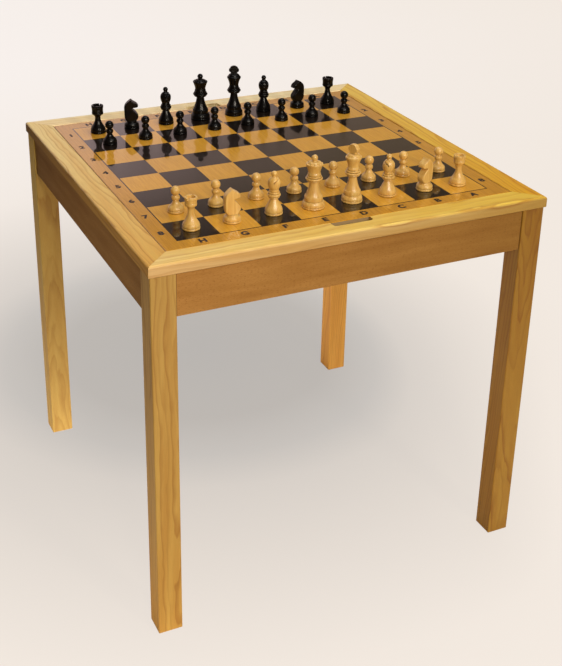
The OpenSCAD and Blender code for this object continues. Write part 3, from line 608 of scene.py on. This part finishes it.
# the slit is a fold in the skin: near the slanted plane the surface is drawn towards the axis, to a
# share of its distance
def bishopShape(side):
    r, e, knob, s = bishop["base"] / 2, bishop["egg"] / 2, bishop["knob"] / 2, turned["swell"]
    low = turned["foot"] + bishop["belly"]
    high = low + bishop["stem"]
    eggLow = high + bishop["collarHeight"]
    middle, tall = eggLow + e, bishop["eggTop"]
    rows = np.concatenate([
        foot(r, bishop["belly"]),
        taper(r - 1.6 * s, low + 0.2 * s, bishop["neck"] / 2, high, bishop["hollow"]),
        collar(bishop["collar"] / 2, e * bishop["eggWaist"], high, bishop["collarHeight"]),
        refine(arc(e, middle, -42, -4, bishop["eggBottom"]), 0.22),
        refine(arc(e, middle, 0, 66, tall), 0.22),
        arc(knob, middle + e * tall + knob * 0.9, -45)])
    grid = lathe(rows, np.linspace(0, 2 * np.pi, 216, endpoint=False))
    lean = math.radians(bishop["slitLean"])
    x, z = grid[..., 0], grid[..., 2] - middle - bishop["slitRise"]
    off = z * math.cos(lean) - x * math.sin(lean)
    inSlit = (np.abs(off) < bishop["slit"] / 2) & (x > 0) & (z < e * 0.9)
    keep = np.where(inSlit, bishop["slitFloor"], 1.0)
    grid[..., 0] *= keep
    grid[..., 1] *= keep
    return [grid]


queen = {"base": 29.8, "inset": 3.6, "belly": 6.3, "stem": 26.4, "neck": 11.4, "crown": 22.2,
         "collarHeight": 11.0, "waist": 15.8, "cup": 13.4, "knob": 8.4, "edge": 0.12, "dome": 0.26,
         "notches": 8, "file": 0.16}


# robe, three ringed collar and a cup whose rim is notched; a low dome r = a + b cos t, z = c sin t
# and the knob close it
def queenShape(side):
    c, waist, knob = queen["crown"] / 2, queen["waist"] / 2, queen["knob"] / 2
    rows, high = robe(queen)
    top = high + queen["collarHeight"]
    rim, edge = top + queen["cup"], c * queen["edge"]
    dome = np.radians(np.linspace(0, 90, 14))
    inner, outer = knob * 0.8, c - edge * 1.7
    rows = np.concatenate([
        rows, collar(c, waist, high, queen["collarHeight"]),
        cup(waist, top + queen["cup"] * 0.14, c - edge / 3, rim - 2 * edge),
        refine(points([c, rim - edge], [c, rim - edge / 2], [c - edge / 2, rim],
                      [c - edge * 1.5, rim - edge / 4]), 0.3),
        np.stack([inner + (outer - inner) * np.cos(dome),
                  rim - edge / 4 + c * queen["dome"] * np.sin(dome)], 1),
        arc(knob, rim + c * 0.24 + knob, -40)])
    grid = lathe(rows, np.linspace(0, 2 * np.pi, 160, endpoint=False))
    # each notch is a round file's cut, its middle half an edge above the rim
    file = c * queen["file"]
    r = np.hypot(grid[..., 0], grid[..., 1])
    turn = np.arctan2(grid[..., 1], grid[..., 0]) * queen["notches"] / (2 * np.pi)
    across = (turn - np.round(turn)) * 2 * np.pi / queen["notches"] * r
    depth = np.sqrt(np.maximum(file ** 2 - across ** 2, 0))
    cut = (r > c * 0.7) & (depth > edge / 2) & (grid[..., 2] > rim - 2.6 * edge)
    grid[..., 2] = np.where(cut, np.minimum(grid[..., 2], rim + edge / 2 - depth), grid[..., 2])
    return [grid]


# the finial's outline is in shares of half its width
king = {"base": 27.8, "inset": 3.4, "belly": 6.2, "stem": 26.2, "neck": 10.4, "crown": 21.2,
        "collarHeight": 11.0, "waist": 14.0, "cup": 15.2, "edge": 0.16, "dome": 0.36,
        "finial": 15.6, "blade": 6.0,
        "outline": [(0.64, 0), (0.66, 0.42), (0.84, 0.54), (0.97, 0.66), (1, 0.76), (1, 1.02),
                    (0.96, 1.12), (0.82, 1.2), (0.79, 1.34), (0.66, 1.54), (0.4, 1.7), (0, 1.76)]}


# robe, collar, cup, bead and a dome of the same kind as the queen's, which closes on the finial
def kingShape(side):
    c, waist, w = king["crown"] / 2, king["waist"] / 2, king["finial"] / 2
    rows, high = robe(king)
    top = high + king["collarHeight"]
    rim, edge = top + king["cup"], c * king["edge"]
    domeHigh, inner = rim + c * king["dome"], w * king["outline"][1][0]
    dome = np.radians(np.linspace(8, 90, 14))
    rows = np.concatenate([
        rows, collar(c, waist, high, king["collarHeight"]),
        cup(waist, top + king["cup"] * 0.14, c - edge / 2, rim - 2 * edge),
        bead(c - edge / 2, rim - 2 * edge, rim, edge / 2),
        np.stack([inner + (c - edge - inner) * np.cos(dome), rim + (domeHigh - rim) * np.sin(dome)], 1)])
    # the finial is turned with a ring round it and planed, so its y is held between two planes
    outline = points(*king["outline"]) * w + np.array([0, domeHigh - w * 0.12])
    blade = lathe(refine(outline, 0.5))
    blade[..., 1] = np.clip(blade[..., 1], -king["blade"] / 2, king["blade"] / 2)
    return [lathe(rows), blade]


# the head's front and back edges, and the blank's edge above its swell, are in shares of the blank's
# radius and of the head's height; the larger square is, the sharper the sawn corners are
knight = {"base": 22.6, "belly": 4.8, "neckHeight": 2.7, "blank": 22.0, "thick": 11.0, "head": 33.2,
          "front": [(0.66, 0), (0.88, 0.09), (0.98, 0.16), (1, 0.227), (0.96, 0.273), (0.77, 0.361),
                    (0.53, 0.452), (0.25, 0.542), (0.16, 0.585), (0.18, 0.625), (0.3, 0.645), (0.55, 0.652),
                    (0.8, 0.665), (0.93, 0.68), (1, 0.7), (0.98, 0.745), (0.88, 0.785), (0.74, 0.825),
                    (0.55, 0.865), (0.36, 0.9), (0.18, 0.935), (0.08, 0.955), (0.02, 0.985), (-0.06, 1)],
          "back": [(-0.66, 0), (-0.9, 0.08), (-0.99, 0.18), (-1, 0.3), (-1, 0.68), (-0.92, 0.75),
                   (-0.75, 0.82), (-0.5, 0.9), (-0.26, 0.965), (-0.13, 0.99), (-0.06, 1)],
          "neck": 0.66, "square": 14.0, "swellTo": 0.2,
          "blankEdge": [(1, 0.2), (1, 0.68), (0.86, 0.92), (0.62, 1)]}


# head of the knight: at each height the cut is where a round blank, two planed sides and the
# sawn front and back edges meet, taken as the smallest distance from the middle in each direction
def knightShape(side):
    r, blankR, h, s = knight["base"] / 2, knight["blank"] / 2, knight["head"], turned["swell"]
    belly = turned["foot"] + knight["belly"]
    low, neck = belly + knight["neckHeight"], r * knight["neck"]
    neckRows = points([neck + 0.4 * s, belly + 0.5 * s], [neck, low - 0.6], [neck, low])
    base = np.concatenate([foot(r, knight["belly"]), neckRows])
    # heights stand closer together at the muzzle
    share = np.concatenate([np.linspace(0, 0.6, 60), np.linspace(0.604, 0.705, 40),
                            np.linspace(0.71, 0.998, 60)])
    z = share * h
    frontAt, backAt, blankAt = (points(*knight[k]) for k in ("front", "back", "blankEdge"))
    front = np.interp(share, frontAt[:, 1], frontAt[:, 0]) * blankR
    back = np.interp(share, backAt[:, 1], backAt[:, 0]) * blankR
    swellUp = neck + (blankR - neck) * np.sin(np.pi / 2 * np.clip(share / knight["swellTo"], 0, 1))
    blank = np.where(share < knight["swellTo"], swellUp,
                     np.interp(share, blankAt[:, 1], blankAt[:, 0]) * blankR)
    middle = (front + back) / 2
    half = np.maximum((front - back) / 2, 0.15)
    a = np.linspace(0, 2 * np.pi, 96, endpoint=False)
    cos, sin = np.cos(a)[None, :], np.sin(a)[None, :]
    m = middle[:, None]
    toBlank = -m * cos + np.sqrt(np.maximum(blank[:, None] ** 2 - (m * sin) ** 2, 0.01))
    toSide = knight["thick"] / 2 / np.maximum(np.abs(sin), 1e-3)
    toEdge = half[:, None] / np.maximum(np.abs(cos), 1e-3)
    stack = np.stack([toBlank, toSide + 0 * m, toEdge])
    reach = (stack ** -knight["square"]).sum(0) ** (-1 / knight["square"])
    grid = np.stack([m + reach * cos, reach * sin, z[:, None] + low + 0 * cos], -1)
    return [lathe(base), grid]


shapes = {"pawn": pawnShape, "rook": rookShape, "knight": knightShape, "bishop": bishopShape,
          "queen": queenShape, "king": kingShape}


# turned light hardwood, sealed and waxed: cream with faint upright grain and soft broad highlights; grooves
# get painted shade and look darker. Figure and tone give waves of noise to the mm, across the stick twice
# and along it; groove is how near, in mm, two walls stand where the painted shade falls
boxwoods = {"cream": "#E6BE6E", "tan": "#D6A450", "grooveShade": "#8A5C28", "groove": 1.6,
            "figure": (0.35, 0.35, 0.03), "tone": (0.03, 0.03, 0.002),
            "black": "#080707", "brownBlack": "#120F0E", "blackFigure": (0.5, 0.5, 0.04)}


def boxwood():
    material, tree = newMaterial("turnedBoxwood")
    place = add(tree, "TexCoord")
    inMm = add(tree, "VectorMath", {"operation": "SCALE"}, {0: place.outputs["Object"], "Scale": 1 / mm})
    space = add(tree, "Mapping", inputs={"Vector": inMm.outputs[0], "Scale": boxwoods["figure"]})
    figure = add(tree, "TexNoise", inputs={"Vector": space.outputs[0], "Scale": 1.0, "Detail": 4.0,
                                           "Distortion": 0.4})
    stick = add(tree, "Mapping", inputs={"Vector": inMm.outputs[0], "Scale": boxwoods["tone"]})
    tone = add(tree, "TexNoise", inputs={"Vector": stick.outputs[0], "Scale": 1.0, "Detail": 0.0})
    wood = add(tree, "ValToRGB", {"stops": [(0.35, linear(boxwoods["cream"])),
                                            (0.68, linear(boxwoods["tan"]))]},
               {"Fac": figure.outputs["Fac"]})
    varied = add(tree, "MapRange", inputs={0: tone.outputs["Fac"], 1: 0.35, 2: 0.65, 3: 0.93, 4: 1.05})
    colour = add(tree, "VectorMath", {"operation": "SCALE"},
                 {0: wood.outputs[0], "Scale": varied.outputs[0]})
    # painted shade in grooves and in the bishop's slit, wherever ambient occlusion finds walls close by
    crevice = add(tree, "AmbientOcclusion", {"samples": 8},
                  {"Color": linear("#FFFFFF"), "Distance": boxwoods["groove"] * mm})
    outsideGrooveShade = add(tree, "MapRange", inputs={0: crevice.outputs["AO"], 1: 0.25, 2: 0.85, 3: 0.0, 4: 1.0})
    withGrooveShade = add(tree, "Mix", {"data_type": "RGBA"},
                  {"Factor": outsideGrooveShade.outputs[0], 6: linear(boxwoods["grooveShade"]), 7: colour.outputs[0]})
    bump = add(tree, "Bump", inputs={"Height": figure.outputs["Fac"], "Strength": 0.04, "Distance": 0.0002})
    shader = add(tree, "BsdfPrincipled", inputs={"Base Color": withGrooveShade.outputs[2], "Roughness": 0.4,
                                                 "IOR": 1.5, "Coat Weight": 0.5, "Coat Roughness": 0.2,
                                                 "Normal": bump.outputs[0]})
    return finishMaterial(material, shader)


# the same wood stained black and lacquered: near black with small hard highlights
def ebonised():
    material, tree = newMaterial("ebonisedBoxwood")
    place = add(tree, "TexCoord")
    inMm = add(tree, "VectorMath", {"operation": "SCALE"}, {0: place.outputs["Object"], "Scale": 1 / mm})
    space = add(tree, "Mapping", inputs={"Vector": inMm.outputs[0], "Scale": boxwoods["blackFigure"]})
    figure = add(tree, "TexNoise", inputs={"Vector": space.outputs[0], "Scale": 1.0, "Detail": 4.0})
    wood = add(tree, "ValToRGB", {"stops": [(0.35, linear(boxwoods["black"])),
                                            (0.7, linear(boxwoods["brownBlack"]))]},
               {"Fac": figure.outputs["Fac"]})
    bump = add(tree, "Bump", inputs={"Height": figure.outputs["Fac"], "Strength": 0.05,
                                     "Distance": 0.0002})
    shader = add(tree, "BsdfPrincipled", inputs={"Base Color": wood.outputs[0], "Roughness": 0.4,
                                                 "IOR": 1.5, "Specular IOR Level": 0.1,
                                                 "Coat Weight": 0.3, "Coat Roughness": 0.1,
                                                 "Normal": bump.outputs[0]})
    return finishMaterial(material, shader)


# how each man of the back rank is turned on its square, in degrees, from left to right
layout = {
    "white": {"slot": "boxwood", "facing": [0, -6, -30, 10, -70, 150, 198, 140]},
    "black": {"slot": "ebonised", "facing": [0, -20, -30, 10, -20, 150, 190, 140]},
}
backRank = ["rook_left", "knight_left", "bishop_left", "queen", "king", "bishop_right", "knight_right",
            "rook_right"]
# each pawn is turned this many degrees further than the one to its left
pawnTurn = 40


# middle of the foot of a CAD chessman: the middle of the points in its lowest millimetre
def nodeMiddle(node):
    co = meshPoints(nodes[node].data)
    footPoints = co[co[:, 2] < co[:, 2].min() + 1 * mm]
    centre = (footPoints.min(0) + footPoints.max(0)) / 2
    return np.array([centre[0], centre[1], co[:, 2].min()])


# stands a man where its CAD solid stands, turned by facing
def placeMan(node, kind, side, facing, material):
    middle = nodeMiddle(node)
    c, s = math.cos(math.radians(facing)), math.sin(math.radians(facing))
    turn = np.array([[c, s, 0], [-s, c, 0], [0, 0, 1]])
    allPoints, faces, start = [], [], 0
    for grid in shapes[kind](side):
        rings, sides = grid.shape[:2]
        allPoints.append(grid.reshape(-1, 3) @ turn * mm + middle)
        faces += ringFaces(rings, sides, start)
        start += rings * sides
    thing = meshObject(node + "_turned", np.concatenate(allPoints), faces, material)
    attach(thing, node)
    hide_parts(node)


finishes = {"white": boxwood(), "black": ebonised()}
for side, plan in layout.items():
    for name, facing in zip(backRank, plan["facing"]):
        placeMan(side + "_" + name, name.split("_")[0], side, facing, finishes[side])
    for i in range(8):
        placeMan("%s_pawn_%d" % (side, i + 1), "pawn", side, pawnTurn * i, finishes[side])
print("chessmen turned")


# lengths and reaches in m; the tones are a painted shadow of the table and go by the distance from the
# middle of the shadow, stretched on the right; ownLight is the share of its colour that the floor gives as
# light
studio = {
    "radius": 14.0, "rings": 24, "sides": 96, "shadow": (0.06, 0.42), "ownLight": 0.93,
    "shadowTones": [(0.0, "#BBB7B3"), (0.25, "#BFBAB5"), (0.36, "#CAC5C0"), (0.45, "#DAD3CC"),
              (0.6, "#E4DCD4"), (0.85, "#F3EAE1"), (1.0, "#F5ECE3")],
    "stretchFrom": 0.2, "stretchTo": 0.6, "stretch": 1.3,
    "farLeft": "#FDF6F2", "farRight": "#F7EEE5", "turnFrom": -0.5, "turnTo": 3.0,
    "farFrom": 0.5, "farTo": 2.6, "dullNear": "#C4B8A8", "shadeLeft": "#3A3222", "shadeFrom": -0.9,
    "shadeTo": -0.36, "glow": (-0.58, 0.42), "glowColour": "#F6DFB0", "glowLight": 3.2,
    "glowFrom": 0.3, "glowTo": 0.98,
}


# painted studio floor: pale and warm. The lens sees mostly its own colour, with a painted shadow of the
# table, greyest under it and paler further off; other rays find it duller, with painted shade on the left.
# Only diffuse rays meet the warm glow to the left, which throws soft light up without showing in gloss
def studioPaint():
    material, tree = newMaterial("palePaintedFloor")
    place = add(tree, "TexCoord")
    split = add(tree, "SeparateXYZ", inputs={0: place.outputs["Object"]})
    # painted shadow of the table: greyest round the shadow's middle, paler further off
    fromShadow = add(tree, "VectorMath", {"operation": "DISTANCE"},
                     {0: place.outputs["Object"], 1: (*studio["shadow"], 0.0)})
    outward = add(tree, "MapRange", {"interpolation_type": "SMOOTHSTEP"},
                  {0: split.outputs[0], 1: studio["stretchFrom"], 2: studio["stretchTo"], 3: 1.0,
                   4: studio["stretch"]})
    stretched = add(tree, "Math", {"operation": "MULTIPLY"},
                    {0: fromShadow.outputs["Value"], 1: outward.outputs[0]})
    nearWithShadow = add(tree, "ValToRGB", {"stops": [(at, linear(tone)) for at, tone in studio["shadowTones"]]},
               {"Fac": stretched.outputs[0]})
    rightwards = add(tree, "MapRange", {"interpolation_type": "SMOOTHSTEP"},
                     {0: split.outputs[0], 1: studio["turnFrom"], 2: studio["turnTo"]})
    back = add(tree, "Mix", {"data_type": "RGBA"},
               {"Factor": rightwards.outputs[0], 6: linear(studio["farLeft"]),
                7: linear(studio["farRight"])})
    far = add(tree, "MapRange", {"interpolation_type": "SMOOTHSTEP"},
              {0: split.outputs[1], 1: studio["farFrom"], 2: studio["farTo"]})
    colour = add(tree, "Mix", {"data_type": "RGBA"},
                 {"Factor": far.outputs[0], 6: nearWithShadow.outputs[0], 7: back.outputs[2]})
    paint = add(tree, "BsdfDiffuse", inputs={"Color": colour.outputs[2]})
    own = add(tree, "Emission", inputs={"Color": colour.outputs[2], "Strength": 1.0})
    seen = add(tree, "MixShader", inputs={0: studio["ownLight"], 1: paint.outputs[0], 2: own.outputs[0]})
    # painted shade: for gloss and diffuse rays the floor darkens towards the left
    outOfLeftShade = add(tree, "MapRange", {"interpolation_type": "SMOOTHSTEP"},
                      {0: split.outputs[0], 1: studio["shadeFrom"], 2: studio["shadeTo"]})
    dullWithLeftShade = add(tree, "Mix", {"data_type": "RGBA"},
                     {"Factor": outOfLeftShade.outputs[0], 6: linear(studio["shadeLeft"]),
                      7: linear(studio["dullNear"])})
    dull = add(tree, "BsdfDiffuse", inputs={"Color": dullWithLeftShade.outputs[2]})
    fromGlow = add(tree, "VectorMath", {"operation": "DISTANCE"},
                   {0: place.outputs["Object"], 1: (*studio["glow"], 0.0)})
    inGlow = add(tree, "MapRange", {"interpolation_type": "SMOOTHSTEP"},
                 {0: fromGlow.outputs["Value"], 1: studio["glowFrom"], 2: studio["glowTo"],
                  3: studio["glowLight"], 4: 0.0})
    path = add(tree, "LightPath")
    soft = add(tree, "Math", {"operation": "MULTIPLY"},
               {0: inGlow.outputs[0], 1: path.outputs["Is Diffuse Ray"]})
    glow = add(tree, "Emission", inputs={"Color": linear(studio["glowColour"]),
                                         "Strength": soft.outputs[0]})
    thrown = add(tree, "AddShader", inputs={0: dull.outputs[0], 1: glow.outputs[0]})
    direct = add(tree, "Math", {"operation": "MAXIMUM"},
                 {0: path.outputs["Is Camera Ray"], 1: path.outputs["Is Transmission Ray"]})
    floor = add(tree, "MixShader", inputs={0: direct.outputs[0], 1: thrown.outputs[0], 2: seen.outputs[0]})
    return finishMaterial(material, floor)


# a disc in rings: x = r cos a, y = r sin a
ringRadii = np.linspace(0.05, 1, studio["rings"])[:, None] ** 2 * studio["radius"]
ringAngles = np.linspace(0, 2 * np.pi, studio["sides"], endpoint=False)[None, :]
floorGrid = np.stack([ringRadii * np.cos(ringAngles), ringRadii * np.sin(ringAngles),
                      0 * ringRadii * ringAngles], -1)
floorQuads = ringFaces(studio["rings"], studio["sides"], closed=False)
floor = meshObject("studioFloor", floorGrid.reshape(-1, 3), [*floorQuads, list(range(studio["sides"]))],
                   studioPaint(), smooth=False)

# soft boxes: places, aims and sizes in m, power in watts
lamps = {
    "softboxRight": {"place": (0.5, -2.35, 1.75), "aim": (0, 0, 0.45), "size": (0.3, 0.8),
                     "power": 27.0, "colour": "#FFF4E2"},
    "softboxLeft": {"place": (-0.55, -2.35, 1.75), "aim": (0, 0, 0.45), "size": (0.3, 0.8),
                    "power": 22.0, "colour": "#FFF4E2"},
    "softboxTop": {"place": (0.3, 0.2, 2.7), "aim": (0, 0, 0.5), "size": (1.8, 1.6),
                   "power": 22.0, "colour": "#FFFFFF"},
}


def addLamp(name, plan):
    light = bpy.data.lights.new(name, "AREA")
    light.shape = "RECTANGLE"
    light.size, light.size_y = plan["size"]
    light.energy = plan["power"]
    light.color = linear(plan["colour"])[:3]
    thing = bpy.data.objects.new(name, light)
    thing.location = plan["place"]
    towards = Vector(plan["aim"]) - Vector(plan["place"])
    thing.rotation_euler = towards.to_track_quat("-Z", "Y").to_euler()
    bpy.context.scene.collection.objects.link(thing)


for name, plan in lamps.items():
    addLamp(name, plan)

# the room, by direction: x to the right, y to the back and z up, each from -1 to 1. Gloss shows a lit
# backdrop behind the table, brightest low down and darker to the right and upwards: its colours go by
# x plus colourRise times z, and it dims above the line where z plus tilt times x passes dimFrom. The
# fill is warmer and weaker from the left
room = {
    "seen": "#FBF3EF",
    "backdrop": [(0.0, "#F7DAD7"), (0.35, "#C8ADA6"), (0.65, "#A28B7C"), (1.0, "#957F61")],
    "colourRise": 1.45, "colourFrom": 0.76, "colourTo": 0.95,
    "backFrom": 0.3, "backTo": 0.85, "front": 0.03,
    "tilt": 0.19, "dimFrom": 0.425, "dimTo": 0.475, "dim": 0.22,
    "fill": [(0.3, "#E0C088"), (0.6, "#E8E4E6")], "fillLeft": 0.12, "fillRight": 0.5,
}


def lightRoom():
    world = bpy.data.worlds.new("studioRoom")
    bpy.context.scene.world = world
    world.use_nodes = True
    tree = world.node_tree
    tree.nodes.clear()
    place = add(tree, "TexCoord")
    axes = add(tree, "SeparateXYZ", inputs={0: place.outputs["Generated"]})
    sideRise = add(tree, "Math", {"operation": "MULTIPLY_ADD"},
                   {0: axes.outputs[2], 1: room["colourRise"], 2: axes.outputs[0]})
    spread = add(tree, "MapRange", inputs={0: sideRise.outputs[0], 1: room["colourFrom"],
                                           2: room["colourTo"]})
    backdrop = add(tree, "ValToRGB", {"stops": [(at, linear(tone)) for at, tone in room["backdrop"]]},
                   {"Fac": spread.outputs[0]})
    behind = add(tree, "MapRange", {"interpolation_type": "SMOOTHSTEP"},
                 {0: axes.outputs[1], 1: room["backFrom"], 2: room["backTo"], 3: room["front"], 4: 1.0})
    rise = add(tree, "Math", {"operation": "MULTIPLY_ADD"},
               {0: axes.outputs[0], 1: room["tilt"], 2: axes.outputs[2]})
    lower = add(tree, "MapRange", {"interpolation_type": "SMOOTHSTEP"},
                {0: rise.outputs[0], 1: room["dimFrom"], 2: room["dimTo"], 3: 1.0, 4: room["dim"]})
    lit = add(tree, "Math", {"operation": "MULTIPLY"}, {0: behind.outputs[0], 1: lower.outputs[0]})
    gloss = add(tree, "Background", inputs={"Color": backdrop.outputs[0], "Strength": lit.outputs[0]})
    sideways = add(tree, "MapRange", inputs={0: axes.outputs[0], 1: -1.0, 2: 1.0})
    warmth = add(tree, "ValToRGB", {"stops": [(at, linear(tone)) for at, tone in room["fill"]]},
                 {"Fac": sideways.outputs[0]})
    fromRight = add(tree, "MapRange", inputs={0: axes.outputs[0], 1: -1.0, 2: 1.0,
                                              3: room["fillLeft"], 4: room["fillRight"]})
    fill = add(tree, "Background", inputs={"Color": warmth.outputs[0], "Strength": fromRight.outputs[0]})
    seen = add(tree, "Background", inputs={"Color": linear(room["seen"]), "Strength": 1.0})
    path = add(tree, "LightPath")
    other = add(tree, "MixShader", inputs={0: path.outputs["Is Glossy Ray"], 1: fill.outputs[0],
                                           2: gloss.outputs[0]})
    direct = add(tree, "Math", {"operation": "MAXIMUM"},
                 {0: path.outputs["Is Camera Ray"], 1: path.outputs["Is Transmission Ray"]})
    sky = add(tree, "MixShader", inputs={0: direct.outputs[0], 1: other.outputs[0], 2: seen.outputs[0]})
    add(tree, "OutputWorld", inputs={"Surface": sky.outputs[0]})


lightRoom()
print("studio lit")


# angles in degrees: azimuth from the back towards the right, elevation downwards. The frame is
# frameHigh points high and stands focal points from the lens, which is raised, so that its axis meets
# the frame about 100 points above the middle
camera = {"place": (-0.6725, -1.4415, 1.1246), "azimuth": 25.749, "elevation": 23.946, "roll": 1.219,
          "focal": 1191.97, "frameHigh": 666, "sensor": 36, "shift": -0.1486}
az, el, roll = (math.radians(camera[k]) for k in ("azimuth", "elevation", "roll"))
forward = Vector((math.sin(az) * math.cos(el), math.cos(az) * math.cos(el), -math.sin(el)))
right = Vector((math.cos(az), -math.sin(az), 0))
up = right.cross(forward)
rolledRight = right * math.cos(roll) + up * math.sin(roll)
rolledUp = up * math.cos(roll) - right * math.sin(roll)
lens = bpy.data.cameras.new("camera")
lens.sensor_fit = "AUTO"
lens.sensor_width = camera["sensor"]
lens.lens = camera["focal"] / camera["frameHigh"] * camera["sensor"]
lens.shift_y = camera["shift"]
eye = bpy.data.objects.new("camera", lens)
eye.matrix_world = Matrix((rolledRight, rolledUp, -forward)).transposed().to_4x4()
eye.location = camera["place"]
bpy.context.scene.collection.objects.link(eye)
bpy.context.scene.camera = eye
bpy.context.scene.view_settings.view_transform = "Standard"

print("camera set")
